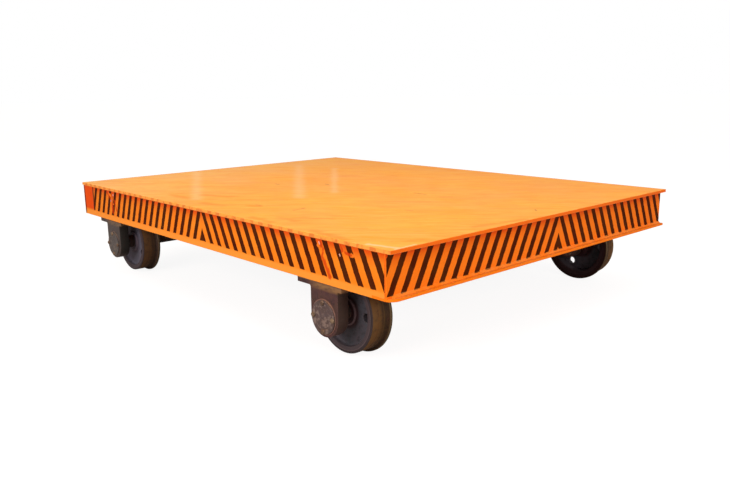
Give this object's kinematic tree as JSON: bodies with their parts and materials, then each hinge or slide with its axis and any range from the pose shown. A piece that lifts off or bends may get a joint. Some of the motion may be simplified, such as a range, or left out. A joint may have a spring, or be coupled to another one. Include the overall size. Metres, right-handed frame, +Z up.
{
  "type": "battery transfer cart",
  "caption": "Low flat steel rail cart with a striped orange frame, flanged wheels in hung bearing housings, a driven rear axle and batteries inside the frame.",
  "frame": {"origin": "on the ground under the middle of the deck, level with the lowest points of the wheel flanges", "axes": "+X forward along the rails, +Y to the left, +Z up"},
  "size_m": [4, 3, 0.765],
  "materials": {
    "deck_paint": "worn glossy orange enamel",
    "striped_paint": "orange enamel with black warning stripes",
    "frame_paint": "dusty orange enamel",
    "housing_casting": "dark primer with dust and rust",
    "wheel_steel": "cast steel, rusty, tread rubbed",
    "axle_steel": "turned steel with light rust",
    "drive_paint": "blue-grey machine enamel, dusty",
    "battery_case": "moulded case, dusty",
    "control_paint": "pale grey powder coat"
  },
  "bodies": {
    "chassis": {"battery_pack_left": "battery_case", "battery_pack_right": "battery_case", "bearing_housing_front_left": "housing_casting", "bearing_housing_front_right": "housing_casting", "bearing_housing_rear_left": "housing_casting", "bearing_housing_rear_right": "housing_casting", "control_box": "control_paint", "cross_beam_1": "frame_paint", "cross_beam_2": "frame_paint", "cross_beam_3": "frame_paint", "cross_beam_4": "frame_paint", "deck_plate": "deck_paint", "drive_motor": "drive_paint", "end_beam_front": "striped_paint", "end_beam_rear": "striped_paint", "gear_reducer": "drive_paint", "housing_cap_front_left": "housing_casting", "housing_cap_front_right": "housing_casting", "housing_cap_rear_left": "housing_casting", "housing_cap_rear_right": "housing_casting", "inner_bearing_left": "housing_casting", "inner_bearing_right": "housing_casting", "main_beam_left": "frame_paint", "main_beam_right": "frame_paint", "outrigger_left_1": "frame_paint", "outrigger_left_2": "frame_paint", "outrigger_left_3": "frame_paint", "outrigger_left_4": "frame_paint", "outrigger_right_1": "frame_paint", "outrigger_right_2": "frame_paint", "outrigger_right_3": "frame_paint", "outrigger_right_4": "frame_paint", "side_beam_left": "striped_paint", "side_beam_right": "striped_paint", "torque_arm": "drive_paint"},
    "driven_axle": {"rear_axle": "axle_steel", "wheel_rear_left": "wheel_steel", "wheel_rear_right": "wheel_steel"},
    "front_wheel_left": {"wheel_front_left": "wheel_steel", "stub_axle_left": "axle_steel"},
    "front_wheel_right": {"wheel_front_right": "wheel_steel", "stub_axle_right": "axle_steel"}
  },
  "joints": [
    {"name": "rear_axle_turn", "type": "hinge", "parent": "chassis", "child": "driven_axle", "pos_m": [-1.451, 0, 0.275], "axis": [0, 1, 0], "continuous": true},
    {"name": "front_left_turn", "type": "hinge", "parent": "chassis", "child": "front_wheel_left", "pos_m": [1.426, 1.2625, 0.275], "axis": [0, 1, 0], "continuous": true},
    {"name": "front_right_turn", "type": "hinge", "parent": "chassis", "child": "front_wheel_right", "pos_m": [1.426, -1.2625, 0.275], "axis": [0, 1, 0], "continuous": true}
  ]
}
